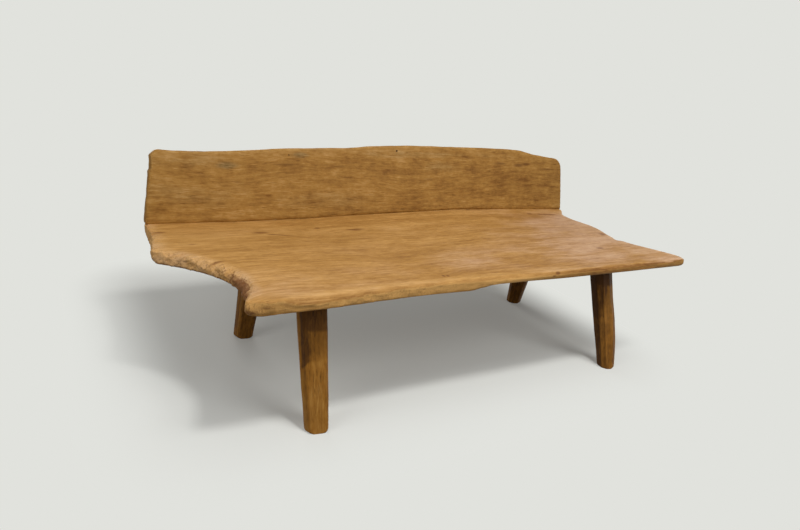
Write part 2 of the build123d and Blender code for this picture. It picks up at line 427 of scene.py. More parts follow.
def top_wear(points):
    """How far the wear on the top arris reaches inwards and down at each point, and its bow there."""
    x, y, _ = points.T
    lobe = spots(points, [(LOBE, (0.08, 0.06, 0.2), 1.0)])
    bay = spots(points, [(BAY, (0.06, 0.11, 0.2), 1.0)])
    wane = window(x, WANE_START, WANE_END, 0.10) * front_edge(points)
    wane *= 0.8 + 0.3 * lumps(points * (9, 0, 0), 31)
    bevel = ease(x, WANE_END - 0.15, WANE_END + 0.1) * front_edge(points)
    crumbled = left_end(points) * (1 - ease(y, CORNER_BACK - 0.05, CORNER_BACK))
    crumbled *= 0.85 + 0.4 * lumps(points * (17, 17, 0), 41)
    reach = 0.003 + 0.003 * (1 + lumps(points * (6, 6, 0), 33)) * (1 - ease(x, -0.2, 0.2))
    drop = reach
    shares = (wane, bevel, lobe, crumbled, bay)
    wears = (WANE_WEAR, BEVEL_WEAR, LOBE_WEAR, CRUMBLED_WEAR, BAY_WEAR)
    for share, (inwards, down) in zip(shares, wears):
        reach = np.maximum(reach, inwards * share)
        drop = np.maximum(drop, down * share)
    return reach, drop, 2 - 0.7 * np.clip(np.maximum(wane, bevel), 0, 1)


def fuller_moves(points, inward):
    """How far the fuller places of the seat, and its low right front rim, lie off the plain board."""
    x, y, z = points.T
    moves = np.zeros_like(points)
    for place, halves, move in FULLER_PLACES:
        moves += np.outer(spots(points, [(place, halves, 1.0)]), move)
    moves -= inward * (BAY_RIM_MOVE * spots(points, [(BAY_RIM, (0.035, 0.05, 0.2), 1.0)]))[:, None]
    moves[:, 0] -= LEFT_REAR_MOVE * (1 - ease(x, -0.95, -0.85)) * ease(y, 0.18, 0.28)
    low_right = ease(x, 0.1, 0.3) * front_edge(points) * ease(SEAT_TOP - z, 0.008, 0.018)
    moves[:, 2] -= RIGHT_FRONT_MOVE * low_right
    return moves


def wear_arrises(points, distance, inward):
    """Wears the arrises off: a little everywhere, more on the front edge, the lobe and the rough end."""
    z = points[:, 2]
    top_in, top_down = round_off(SEAT_TOP - z, distance, inward, *top_wear(points))
    under = 0.004 + 0.030 * spots(points, [(LOBE_TIP, (0.035, 0.035, 0.2), 1.0)])
    under_in, under_up = round_off(z - SEAT_UNDER, distance, inward, under, 0.5 * under)
    worn = points + top_in + under_in
    worn[:, 2] += under_up - top_down
    return worn + fuller_moves(points, inward)


def shape_seat(piece):
    """Shapes the seat, and gives each point's distance from the edge and how deep in a hollow it lies."""
    distance, _ = rim_of(points_of(piece), normals_of(piece))
    divide(piece, distance < SEAT_RIM)
    distance, inward = rim_of(points_of(piece), normals_of(piece))
    points = wear_arrises(points_of(piece), distance, inward)
    move_points(piece, points)
    tip = spots(points, [(TIP, (0.03, 0.03, 0.2), 1.0), (LOBE_TIP, (0.03, 0.03, 0.2), 0.3)])
    soften(piece, np.where(distance < 0.03, tip, 0), SOFT_ROUNDS)
    return distance, hew_seat(piece, distance)


def hew_seat(piece, distance):
    """Gives the seat its tool marks, torn end and chip, and tells how deep in a hollow each point lies."""
    points = points_of(piece)
    x, y, _ = points.T
    outward = normals_of(piece)
    top = ease(outward[:, 2], 0.3, 0.9)
    under = ease(-outward[:, 2], 0.3, 0.9)
    side = 1 - np.maximum(top, under)
    near = 1 - ease(distance, 0.0, 0.05)
    moved = points.copy()
    # The top is wavy from the adze, and rises and falls along the back
    slow = 0.0018 * lumps(points * (2.3, 4.1, 0), 11) + 0.0005 * lumps(points * (9, 16, 0), 12)
    moved[:, 2] += top * (slow + joint_rise(x) * ease(y, 0.02, BACK_FOOT - 0.02))
    # The underside keeps the scallops of the adze
    scallops = 0.0016 * rough(points * (13, 9, 0), 21) + 0.002 * lumps(points * (3, 3, 0), 24)
    moved[:, 2] += under * scallops * ease(distance, 0.0, 0.04)
    # The rough end is torn across the grain, with splinters along it and hollows between them
    splinters = 0.5 * rough(points * (16, 70, 60), 42) + 0.4 * rough(points * (60, 80, 90), 46, 2)
    torn = left_end(points) * (0.35 + 0.65 * (1 - ease(y, CORNER_BACK - 0.03, CORNER_BACK + 0.03)))
    moved += outward * (np.maximum(side, near * top) * torn * 0.008 * splinters)[:, None]
    # The front edge is hewn by hand, rougher on its left half
    edge = side * front_edge(points)
    hand = 0.0012 + 0.0034 * (1 - ease(x, -0.55, -0.15))
    hewn = rough(points * (19, 19, 40), 51)
    moved[:, 1] += edge * hand * hewn
    # The right end is smoother, with one chipped place
    right = side * ease(x, 0.6, 0.75)
    moved += outward * (right * 0.0014 * rough(points * (20, 20, 30), 61))[:, None]
    chip = spots(points, [(NICK, (0.020, 0.016, 0.03), 1.0)])
    moved[:, 0] -= chip * 0.007 * (0.7 + 0.3 * lumps(points * 60, 63))
    moved[:, 2] -= chip * top * 0.006
    move_points(piece, moved)
    hollows = 0.4 * torn * np.maximum(side, near) * ease(-splinters, 0.15, 0.6)
    hollows += 45 * edge * hand * ease(-hewn, 0.3, 1.0)
    return np.clip(hollows, 0, 1)


# Small dark marks on the seat: place, half-sizes and strength
SEAT_MARKS = [
    ((-0.377, 0.208, SEAT_TOP), (0.014, 0.012, 0.05), 1.0),
    ((-0.246, 0.157, SEAT_TOP), (0.052, 0.018, 0.05), 0.75),
    ((-0.186, -0.348, SEAT_TOP), (0.008, 0.010, 0.05), 1.0),
    ((-0.171, -0.351, SEAT_TOP), (0.007, 0.009, 0.05), 1.0),
    ((-0.597, 0.184, SEAT_TOP), (0.043, 0.022, 0.05), 0.85),
    ((-0.921, 0.236, SEAT_TOP), (0.028, 0.014, 0.05), 0.9),
    ((-0.849, 0.067, SEAT_TOP), (0.026, 0.012, 0.05), 0.6),
    ((-0.816, -0.101, SEAT_TOP), (0.030, 0.008, 0.05), 0.9),
    ((0.646, -0.221, SEAT_TOP), (0.028, 0.018, 0.05), 0.8),
    ((0.703, 0.262, SEAT_TOP), (0.020, 0.014, 0.05), 1.0),
    ((0.828, 0.240, SEAT_TOP), (0.040, 0.010, 0.05), 0.7),
    ((0.770, 0.030, SEAT_TOP), (0.035, 0.020, 0.05), 0.5),
    ((0.828, -0.066, SEAT_TOP), (0.030, 0.020, 0.05), 0.8),
    ((-0.761, -0.405, 0.402), (0.024, 0.02, 0.010), 0.7),
    ((-0.706, -0.405, 0.406), (0.026, 0.02, 0.012), 0.65),
    ((-0.524, -0.405, 0.405), (0.090, 0.02, 0.011), 0.5),
    ((-0.294, -0.405, 0.404), (0.050, 0.02, 0.010), 0.5),
    ((0.245, -0.405, 0.415), (0.012, 0.02, 0.005), 1.2),
    ((0.226, -0.405, 0.407), (0.012, 0.02, 0.004), 1.1),
]
# Bends of the seat's grain: place, half-sizes and height
SEAT_KNOTS = [
    ((-0.287, -0.120), (0.11, 0.07), 0.035),
    ((-0.178, -0.330), (0.05, 0.03), 0.018),
    ((-0.386, 0.180), (0.05, 0.03), 0.012),
    ((0.35, 0.05), (0.22, 0.10), -0.030),
    ((0.72, 0.18), (0.18, 0.08), 0.030),
    ((-0.72, -0.20), (0.16, 0.10), -0.025),
    ((-0.84, -0.36), (0.06, 0.08), 0.040),
]


def facing_up(outward):
    """1 on the top of the seat, fading out over its rim."""
    return ease(outward[:, 2], 0.2, 0.6)


def edge_face(points, outward):
    """1 on the face of the front edge, with its bevel."""
    return front_edge(points) * (1 - ease(outward[:, 2], 0.6, 0.92))


def rough_rim(points, distance):
    """1 on the rim of the rough left end, fading out over the top and the underside."""
    return left_end(points) * (1 - ease(distance, 0.0, 0.05))


def seat_bark(points, outward, distance):
    """Where the seat is dark with bark: in and round the pocket, and low on the rough rim."""
    z = points[:, 2]
    pocket = spots(points, [(BAY, (0.072, 0.125, 0.05), 0.9)]) * ease(SEAT_TOP - z, -0.002, 0.014)
    rims = [(LOBE_TIP, (0.045, 0.05, 0.015), 0.75), (BAY_SIDE, (0.035, 0.05, 0.05), 0.7)]
    lower_rim = left_end(points) * (1 - ease(z, SEAT_TOP - 0.038, SEAT_TOP - 0.028))
    lower_rim *= (1 - facing_up(outward)) * (1 - ease(distance, 0.015, 0.05))
    return np.maximum.reduce([pocket, spots(points, rims), 0.75 * lower_rim])


def seat_patina(points, outward, distance):
    """How rosy the seat is: most at the right, less by the back, and not on the plain front edge."""
    x, y, _ = points.T
    by_back = ease(y, 0.16, 0.30)
    rosy = 0.25 + ease(x, 0.05, 0.75) * (1 - ease(y, -0.15, 0.28))
    rosy += 0.6 * ease(x, 0.35, 0.8) * (1 - 0.6 * by_back)
    rosy += spots(points, [((0.03, -0.23, SEAT_TOP), (0.22, 0.09, 0.02), 0.5)])
    rosy += 0.14 * (1 - ease(y, -0.36, -0.12)) * (1 - ease(x, -0.3, 0.1)) * facing_up(outward)
    rosy *= 1 - edge_face(points, outward) * ease(x, *PAST_LOBE)
    return np.clip(rosy + 0.6 * rough_rim(points, distance), 0, 1)


def seat_tone(points, outward, distance):
    """How much lighter or darker than its middle tone the seat is, by wear, and by painted light and shade on
    its front edge with a painted highlight just behind it.
    """
    x, y, z = points.T
    past_lobe = ease(x, *PAST_LOBE)
    on_edge = edge_face(points, outward)
    arris = (1 - left_end(points)) * (1 - ease(distance, 0.0, 0.03))
    arris *= ease(z, SEAT_TOP - 0.02, SEAT_TOP - 0.008)
    worn = 0.01 + 0.10 * arris + 0.05 * lumps(points * (1.3, 2.6, 0), 91)
    worn += 0.08 * (1 - ease(x, -0.8, -0.3)) * ease(y, -0.40, -0.15) + 0.22 * rough_rim(points, distance)
    # The face of the front edge is painted lighter as painted light, and darker to the right, low down and on
    # its bevel as painted shade
    low_on_edge = 1 - ease(z - SEAT_UNDER, 0.0, 0.012)
    painted_edge_light = 0.24 + 0.07 * past_lobe + 0.06 * window(x, -0.4, 0.1, 0.1) - 0.42 * ease(x, 0.1, 0.4)
    painted_shade_on_bevel = ease(outward[:, 2], 0.25, 0.6) * (0.35 + 0.15 * window(x, WANE_START, WANE_END, 0.10))
    worn += on_edge * (painted_edge_light - 0.25 * low_on_edge - painted_shade_on_bevel)
    # A painted highlight on the top, in a strip just behind the front edge
    painted_highlight = window(distance, 0.016, 0.030, 0.010) * past_lobe * (1 - ease(x, -0.1, 0.4))
    painted_highlight *= facing_up(outward) * (1 - on_edge) * (1 - ease(y, -0.36, -0.33))
    return worn + 0.14 * painted_highlight


def paint_seat(piece, distance, hollows):
    """Stores what the finish of the seat reads."""
    points = points_of(piece)
    outward = normals_of(piece)
    x, y, z = points.T
    end_grain = ease(np.abs(outward[:, 0]), 0.5, 0.85)
    hewn_edge = edge_face(points, outward) * (1 - ease(x, -0.35, 0.1))
    keep_values(
        piece,
        grain=np.column_stack([x, swirled(y, x, SEAT_KNOTS), z]),
        worn=seat_tone(points, outward, distance),
        stain=np.maximum(spots(points, SEAT_MARKS), hollows),
        bark=seat_bark(points, outward, distance),
        patina=seat_patina(points, outward, distance),
        end=np.maximum.reduce([end_grain, 0.8 * rough_rim(points, distance), 0.5 * hewn_edge]),
    )


# Back

# The left end of the back: height up the board, and how far the end stands in there
BACK_END_HEIGHTS = [0.0, 0.05, 0.10, 0.155, 0.166, 0.171, 0.20, 0.235]
BACK_END_INSETS = [-0.004, -0.003, -0.002, -0.001, -0.002, 0.003, 0.002, -0.003]

# Places along the crest of the back, and how far it rises there above its plain line
CREST_PLACES = [-0.95, -0.80, -0.60, -0.40, -0.22, -0.11, 0.0, 0.10, 0.45, 0.62, 0.70, 0.78, 0.97]
CREST_RISES = [0.001, 0.004, 0.003, 0.005, 0.004, 0.006, 0.005, 0.002, 0.002, 0.005, 0.007, 0.001, 0.001]


def on_back(x, up):
    """A point on the front face of the back."""
    return np.array([x, BACK_FOOT, SEAT_TOP]) + BACK_UP * up


def shape_back(piece):
    """Gives the back its tool marks, its joint line, its ends and its crest."""
    points = points_of(piece)
    outward = normals_of(piece)
    x = points[:, 0]
    up = (points - BACK_BASE) @ BACK_UP
    facing = outward @ BACK_OUT
    front = ease(facing, 0.3, 0.9)
    rear = ease(-facing, 0.3, 0.9)
    rim = 1 - np.maximum(front, rear)

    moved = points.copy()
    hewn = 0.0014 * lumps(points * (3.1, 0, 8), 71) + 0.0005 * lumps(points * (14, 0, 26), 72)
    moved += BACK_OUT * (front * hewn)[:, None]
    moved -= BACK_OUT * (rear * 0.0022 * rough(points * (9, 0, 13), 75))[:, None]
    moved[:, 2] += joint_rise(x) * (1 - ease(up, 0.0, 0.07))
    # The ends and the crest wander a little, with a ledge in the left end
    moved[:, 0] += rim * ease(np.abs(x), 0.85, 0.9) * 0.0020 * rough(points * (0, 22, 22), 81)
    moved[:, 0] += (1 - ease(x, -0.93, -0.87)) * np.interp(up, BACK_END_HEIGHTS, BACK_END_INSETS)
    moved[:, 0] += 0.008 * ease(x, 0.90, 0.95)
    corner = spots(points, [(on_back(0.955, 0.240), (0.03, 0.08, 0.03), 1.0)])
    moved -= np.outer(corner, (0.005, 0, 0.003))
    crest = ease(up, 0.15, 0.2)
    uneven = 0.0014 * rough(points * (11, 0, 0), 84) + np.interp(x, CREST_PLACES, CREST_RISES)
    moved += BACK_UP * (crest * uneven)[:, None]
    move_points(piece, moved)


# Small dark marks on the back: place, half-sizes and strength
BACK_MARKS = [
    (on_back(0.576, 0.215), (0.05, 0.03, 0.008), 0.75),
    (on_back(0.690, 0.209), (0.040, 0.03, 0.010), 0.85),
    (on_back(0.735, 0.214), (0.030, 0.03, 0.008), 1.1),
    (on_back(0.706, 0.204), (0.090, 0.03, 0.020), 0.35),
    (on_back(0.666, 0.180), (0.05, 0.03, 0.007), 0.6),
    (on_back(0.866, 0.192), (0.08, 0.03, 0.005), 0.85),
    (on_back(0.906, 0.160), (0.07, 0.03, 0.005), 0.6),
    (on_back(-0.449, 0.194), (0.07, 0.03, 0.008), 0.75),
    (on_back(-0.630, 0.130), (0.03, 0.03, 0.006), 0.6),
    (on_back(-0.226, 0.190), (0.04, 0.03, 0.010), 0.6),
    (on_back(0.026, 0.243), (0.05, 0.03, 0.010), 0.4),
    (on_back(0.196, 0.140), (0.05, 0.03, 0.010), 0.55),
    (on_back(0.326, 0.092), (0.09, 0.03, 0.006), 0.5),
    (on_back(0.796, 0.10), (0.05, 0.03, 0.010), 0.4),
]
# Weathered patches on the back in the same form, with the two dark grey ones first
GREY_PATCHES = [
    (on_back(-0.390, 0.231), (0.040, 0.03, 0.012), 1.3),
    (on_back(-0.670, 0.190), (0.045, 0.03, 0.014), 1.2),
]
BACK_PATCHES = [
    *GREY_PATCHES,
    (on_back(-0.800, 0.212), (0.180, 0.06, 0.050), 0.7),
    (on_back(-0.780, 0.090), (0.240, 0.06, 0.080), 0.55),
    (on_back(0.100, 0.245), (0.500, 0.06, 0.020), 0.8),
    (on_back(0.250, 0.200), (0.180, 0.06, 0.030), 0.6),
    (on_back(-0.300, 0.060), (0.250, 0.06, 0.040), 0.6),
]
# Bends of the back's grain: place along and up, half-sizes and height
BACK_KNOTS = [
    ((-0.70, 0.15), (0.16, 0.05), 0.020),
    ((-0.42, 0.21), (0.10, 0.03), -0.015),
    ((0.10, 0.12), (0.20, 0.06), 0.020),
    ((0.70, 0.18), (0.14, 0.05), -0.020),
]
# Small round holes in the back: place and radius
BACK_PITS = [(on_back(0.030, 0.257), 0.005), (on_back(-0.436, 0.230), 0.003)]
BACK_GRAIN_START = (5.3, 2.1, 0.4)  # so that the back's grain isn't a copy of the seat's


def paint_back(piece):
    """Stores what the finish of the back reads."""
    points = points_of(piece)
    outward = normals_of(piece)
    x = points[:, 0]
    up = (points - BACK_BASE) @ BACK_UP
    through = (points - BACK_BASE) @ BACK_OUT
    # Lighter along the top as painted light on the crest, darker to the right as painted shade, a little
    # lighter at the left and darker in the grey patches
    worn = 0.08 * ease(up, 0.20, 0.25) - 0.05 * ease(x, 0.1, 0.8) - 0.08
    worn += 0.05 * (1 - ease(x, -0.7, -0.2)) - 0.22 * spots(points, GREY_PATCHES)
    keep_values(
        piece,
        grain=np.column_stack([x, swirled(up, x, BACK_KNOTS), through]) + BACK_GRAIN_START,
        worn=worn,
        stain=spots(points, BACK_MARKS),
        bark=np.zeros(len(points)),
        patina=spots(points, BACK_PATCHES),
        end=ease(np.abs(outward[:, 0]), 0.5, 0.85),
    )


# Legs

# Heights up a leg, and how far the adze left its right-hand and left-hand sides proud there
PROUD_HEIGHTS = [0.0, 0.10, 0.18, 0.26, 0.345, 0.352]
PROUD_RIGHT = {
    "front_left_leg": [0.003, 0.004, 0.004, 0.004, 0.003, 0.008],
    "front_right_leg": [0.004, 0.011, 0.010, 0.004, 0.002, 0.001],
    "rear_left_leg": [0.001, 0.002, 0.003, 0.003, 0.003, 0.003],
    "rear_right_leg": [0.003, 0.010, 0.012, 0.012, 0.012, 0.012],
}
PROUD_LEFT = {
    "front_left_leg": [0.004, 0.004, 0.004, 0.005, 0.005, 0.005],
    "front_right_leg": [0.002, 0.002, 0.003, 0.004, 0.004, 0.004],
    "rear_left_leg": [0.007, 0.007, 0.008, 0.009, 0.010, 0.010],
    "rear_right_leg": [0.002, 0.005, 0.006, 0.006, 0.006, 0.006],
}
# Directions to the right and to the front of a leg, as the photo shows it
RIGHT_HAND = np.array([0.87, -0.49, 0])
FRONT_HAND = np.array([-0.49, -0.87, 0])

# Broad flats that the adze left round each leg: turn to the right from its front, in degrees,
# and share of the half-width that stands there at the foot and at the seat
FRONT_FLATS = {
    "front_left_leg": ((20, 0.80, 0.80), (-75, 1.03, 0.91)),
    "front_right_leg": ((16, 0.87, 0.87), (-24, 0.88, 0.88), (-69, 0.81, 0.81), (56, 0.84, 0.84)),
    "rear_left_leg": ((21, 0.80, 0.80), (-54, 0.82, 0.82)),
    "rear_right_leg": ((-15, 0.82, 0.82), (58, 0.84, 0.84), (-76, 0.92, 0.92)),
}
REAR_FLATS = ((121, 0.86, 0.86), (180, 0.88, 0.88), (-121, 0.86, 0.86))
HALF_WIDTHS = (0.031, 0.043)  # of a leg at the floor and at the seat
STRIP_EDGES = (-1.0, -0.66)  # of the front left leg's painted light strip there, in half-widths

# How each leg is painted: height of the line down to which the seat's shadow is painted on it, how dark its
# left and right halves are above it, height of the painted shadow across its top, its tone, and how much
# lighter its left side is as painted light (darker below 0, as painted shade)
LEG_LOOKS = {
    "front_left_leg": (0.203, 1.0, 0.5, 0.279, 0.05, 0.12),
    "front_right_leg": (0.205, 0.5, 0.0, 0.308, -0.12, -0.22),
    "rear_left_leg": (0.30, 0.8, 0.5, 0.32, -0.20, 0.16),
    "rear_right_leg": (0.30, 0.8, 0.5, 0.32, -0.22, 0.0),
}
LEG_GRAIN_STEP = 9.7  # along the grain, so that no leg is a copy of another


def hew_flats(points, foot, up, name):
    """Cuts the broad flats of a leg below the seat."""
    z = points[:, 2]
    half = np.interp(z, (0, SEAT_UNDER), HALF_WIDTHS)
    middle = foot + np.outer((z - foot[2]) / up[2], up)
    for turn, *shares in (*FRONT_FLATS[name], *REAR_FLATS):
        face = FRONT_HAND * math.cos(math.radians(turn)) + RIGHT_HAND * math.sin(math.radians(turn))
        stands = half * np.interp(z, (0, SEAT_UNDER), shares)
        beyond = np.clip((points - middle) @ face - stands, 0, None) * (z < SEAT_UNDER)
        points = points - np.outer(beyond, face)
    return points


def shape_leg(piece, name, seed):
    """Gives the leg its flats, its tool marks and its proud sides."""
    foot, up = leg_axis(name)
    points = points_of(piece)
    outward = normals_of(piece)
    z = points[:, 2]
    below = ease(SEAT_UNDER - z, 0.0, 0.01) * ease(z, 0.0, 0.02)
    points = hew_flats(points, foot, up, name)
    hewn = 0.0010 * lumps(points * (15, 15, 7) + seed, seed) + 0.0005 * rough(points * (40, 40, 16), seed + 3)
    points = points + outward * (below * hewn)[:, None]
    for side, hand in ((PROUD_RIGHT[name], RIGHT_HAND), (PROUD_LEFT[name], -RIGHT_HAND)):
        proud = np.interp(z, PROUD_HEIGHTS, side) * ease(outward @ hand, 0.2, 0.8)
        points += np.outer(proud * (z < SEAT_UNDER), hand)
    move_points(piece, points)


def paint_leg(piece, name, seed, plain):
    """Stores what the finish of the leg reads. Heights are those of its plain points, before shaping."""
    painted_shadow_line, left_painted_shadow, right_painted_shadow, painted_shadow_top, tone, left_painted_light = LEG_LOOKS[name]
    foot, up = leg_axis(name)
    points = points_of(piece)
    outward = normals_of(piece)
    z = plain[:, 2]
    along = (plain - foot) @ up
    across = points - foot - np.outer(along, up)
    hand = across @ RIGHT_HAND
    # The left side is painted lighter as painted light on the left legs, and darker as painted shade on the
    # front right leg
    left_side = ease(-outward @ RIGHT_HAND, 0.1, 0.9)
    if name == "front_left_leg":
        # Here only a narrow strip along the side is painted lighter, as painted light, and it runs out
        # towards the foot
        edge = np.interp(z, (0, SEAT_UNDER), STRIP_EDGES)
        left_side = 1 - ease(hand / np.interp(z, (0, SEAT_UNDER), HALF_WIDTHS), edge - 0.06, edge + 0.06)
    # The seat's shadow is painted on the leg: darker above a wavy line that runs lower on its left half, by a
    # different amount on each half, and across its top, and less where its left side has painted light
    line = painted_shadow_line + 1.2 * np.minimum(hand + 0.008, 0) + 0.004 * lumps(points * (45, 45, 0), seed + 7)
    painted_shadow = left_painted_shadow + (right_painted_shadow - left_painted_shadow) * ease(hand, -0.014, -0.002)
    painted_shadow *= ease(z, line - 0.004, line + 0.004)
    painted_shadow = np.maximum(painted_shadow, ease(z, painted_shadow_top - 0.010, painted_shadow_top + 0.010))
    painted_shadow *= 1 - 0.7 * left_side * (left_painted_light > 0)
    keep_values(
        piece,
        grain=np.column_stack([along + LEG_GRAIN_STEP * seed, across[:, 0] + seed, across[:, 1]]),
        worn=tone - 0.26 * painted_shadow + left_painted_light * left_side,
        stain=0.6 * painted_shadow,
        bark=np.zeros(len(points)),
        patina=np.full(len(points), 0.5),
        end=ease(-outward[:, 2], 0.6, 0.9),
    )


# Finishes

TONE_PLACES = (0.12, 0.5, 0.88)  # where the dark, middle and light tones of a timber stand
GRAIN_DEPTH = 0.0012  # of the bumps in the surface of a timber
PEG_DEPTH = 0.0006
LOW_SHINE = 0.15  # specular level of the worn wax

# Layers of a timber: lumps to the metre along, across and through the grain, then detail and roughness.
# The first ones follow the waves of the grain, and the others don't.
WAVY_LAYERS = {
    "bands": ((1.1, 19, 19), 2.0, 0.5),
    "streaks": ((8, 90, 90), 3.0, 0.6),
    "fibres": ((30, 430, 430), 2.0, 0.6),
    "pores": ((24, 230, 230), 1.0, 0.5),
    "dashes": ((22, 130, 130), 2.0, 0.55),
    "flecks": ((17, 150, 170), 2.0, 0.55),
}
STRAIGHT_LAYERS = {
    "mottle": ((13, 20, 20), 4.0, 0.65),
    "patches": ((4, 8, 8), 3.0, 0.6),
    "specks": ((150, 150, 150), 2.0, 0.6),
    "speckle": ((48, 66, 66), 3.0, 0.6),
}


def stray(finish, grain, scales, reach):
    """How far the grain strays across and through the board, between 0 and the reach."""
    bends = finish.noise(finish.stretch(grain, scales), 1.0, 0.5, "Color")
    return finish.stretch(bends, (0, reach, reach))


def grain_layers(finish, grain):
    """The layers of a timber, in the order of the two tables."""
    swaying = finish.vector("ADD", grain, stray(finish, grain, (1.6, 5, 5), 0.03))
    wavy = finish.vector("ADD", swaying, stray(finish, grain, (16, 34, 34), 0.008))
    layers = [(wavy, layer) for layer in WAVY_LAYERS.values()]
    layers += [(grain, layer) for layer in STRAIGHT_LAYERS.values()]
    return [finish.noise(finish.stretch(lines, scales), *rest) for lines, (scales, *rest) in layers]


def crack_share(finish, grain, start, stop, line, slope, width):
    """1 in the middle of a crack, and 0 beside it."""
    along, across, _ = finish.parts(grain)
    wander = (finish.noise(finish.stretch(grain, (11, 0, 0)), 2.0) - 0.5) * 0.012
    off = abs(across - line - (along - start) * slope + wander)
    length = along.rise(start, start + 0.03) * (1 - along.rise(stop - 0.05, stop))
    return length * (1 - off.rise(width * 0.3, width))


def pit_share(finish, centre, radius):
    """1 in the middle of a small round hole, and 0 beside it."""
    position = finish.node("ShaderNodeTexCoord", output="Object")
    far = finish.vector("DISTANCE", position, tuple(centre), 1)
    return 1 - far.rise(radius * 0.5, radius)


def timber(name, tones, patina_tones, stain_and_painted_shade_colour, bark_colour, mottling, dashing, cracks=(), pits=()):
    """Worn and waxed hardwood with streaked grain, mottling, stains, cracks and rough end grain, carrying the
    painted light and shade that its pieces store.
    """
    finish = Finish(bpy.data.materials.new(name))
    grain = finish.attribute("grain", "Vector")
    # Shifts of tone from wear and from each piece's own tone, with the painted light and shade that the
    # pieces store
    worn = finish.attribute("worn")
    layers = grain_layers(finish, grain)
    bands, streaks, fibres, pores, dashes, flecks, mottle, patches, specks, speckle = layers
    tone = (bands - 0.5) * 0.35 + (streaks - 0.5) * 0.6 + (fibres - 0.5) * 0.5 + (mottle - 0.5) * mottling
    tone = tone + (patches - 0.5) * 0.3 + (speckle - 0.5) * mottling * 0.5 + worn + 0.5
    tone = tone + flecks.rise(0.60, 0.75) * 0.16 - dashes.rise(0.58, 0.74) * dashing
    stops = list(zip(TONE_PLACES, tones))
    colour = finish.ramp(tone, stops)

    patina = finish.attribute("patina") * ((patches - 0.5) * 1.8 + (streaks - 0.5) * 0.8 + 0.55)
    aged = finish.ramp(tone, list(zip(TONE_PLACES, patina_tones)))
    colour = finish.blend(patina.rise(0.1, 0.8), colour, aged)
    end = finish.attribute("end")
    end_tone = (specks - 0.5) * 1.1 + (mottle - 0.5) * 0.9 + worn + 0.5
    colour = finish.blend(end * 0.7, colour, finish.ramp(end_tone, stops))
    bark = (finish.attribute("bark") + (specks - 0.5) * 0.8 + (mottle - 0.5) * 0.6).rise(0.25, 0.8)
    colour = finish.blend(bark * 0.85, colour, bark_colour)
    # Stains, and on the legs the painted shadow of the seat
    stain = (finish.attribute("stain") + (mottle - 0.5) * 0.6 + (streaks - 0.5) * 0.4).rise(0.3, 0.85)
    open_pores = pores.rise(0.66, 0.8) * 0.35
    open_ends = specks.rise(0.53, 0.64) * end * 0.5
    dark = (stain * 0.75).at_least(open_pores).at_least(open_ends)
    colour = finish.blend(dark, colour, stain_and_painted_shade_colour)

    height = streaks * 0.5 + fibres * 0.35 - pores.rise(0.62, 0.8) * 0.4 + specks * end * 1.2
    for crack in cracks:
        split = crack_share(finish, grain, *crack)
        colour = finish.blend(split * 0.75, colour, stain_and_painted_shade_colour)
        height = height - split * 1.5
    for centre, radius in pits:
        pit = pit_share(finish, centre, radius)
        colour = finish.blend(pit * 0.95, colour, bark_colour)
        height = height - pit * 2

    roughness = 0.58 + (mottle - 0.5) * 0.3 + (streaks - 0.5) * 0.2 + end * 0.15
    sockets = {"Base Color": colour, "Roughness": roughness, "Specular IOR Level": LOW_SHINE}
    sockets["Normal"] = finish.bumps(height, GRAIN_DEPTH)
    return finish.surface(finish.node("ShaderNodeBsdfPrincipled", sockets=sockets))


def peg_wood():
    """Plain split wood for the hidden pegs and wedges."""
    finish = Finish(bpy.data.materials.new("split_peg_wood"))
    place = finish.node("ShaderNodeTexCoord", output="Object")
    fibres = finish.noise(finish.stretch(place, (300, 300, 22)), 3.0, 0.6)
    tone = (fibres - 0.5) * 1.4 + 0.5
    colour = finish.ramp(tone, [(0.1, seen(118, 82, 44)), (0.9, seen(196, 158, 104))])
    sockets = {"Base Color": colour, "Roughness": 0.6 + (fibres - 0.5) * 0.3}
    sockets["Normal"] = finish.bumps(fibres, PEG_DEPTH)
    return finish.surface(finish.node("ShaderNodeBsdfPrincipled", sockets=sockets))


# Splits in the top of the seat: start and end along it, line across it where it starts, slope, and width
SEAT_CRACKS = [
    (-0.595, -0.490, 0.162, -0.50, 0.009),
    (0.730, 0.860, 0.268, -0.10, 0.008),
    (-0.290, -0.225, 0.168, -0.45, 0.009),
]
seat_wood = timber(
    "seat_wood",
    tones=(seen(124, 80, 34), seen(168, 122, 62), seen(206, 158, 92)),
    patina_tones=(seen(138, 96, 62), seen(186, 145, 108), seen(211, 176, 140)),
    stain_and_painted_shade_colour=seen(104, 60, 26),
    bark_colour=seen(104, 60, 30),
    mottling=0.35,
    dashing=0.14,
    cracks=SEAT_CRACKS,
)
back_wood = timber(
    "back_wood",
    tones=(seen(118, 77, 29), seen(161, 118, 56), seen(190, 149, 91)),
    patina_tones=(seen(118, 90, 46), seen(160, 129, 80), seen(186, 157, 112)),
    stain_and_painted_shade_colour=seen(98, 60, 22),
    bark_colour=seen(54, 32, 14),
    mottling=0.75,
    dashing=0.16,
    pits=BACK_PITS,
)
leg_wood = timber(
    "leg_wood",
    tones=(seen(78, 46, 8), seen(142, 93, 28), seen(174, 124, 50)),
    patina_tones=(seen(84, 54, 20), seen(150, 106, 50), seen(186, 142, 80)),
    # This colour also paints the seat's shadow on the legs
    stain_and_painted_shade_colour=seen(62, 34, 8),
    bark_colour=seen(54, 32, 14),
    mottling=0.6,
    dashing=0.2,
)
peg_finish = peg_wood()


# The bench, piece by piece

seat_board = carved_from("seat_slab", "seat_board", SEAT_FINENESS)
paint_seat(seat_board, *shape_seat(seat_board))
dress(seat_board, "seat_slab", seat_wood)

back_board = carved_from("back_slab", "back_board", BACK_FINENESS)
shape_back(back_board)
paint_back(back_board)
dress(back_board, "back_slab", back_wood)

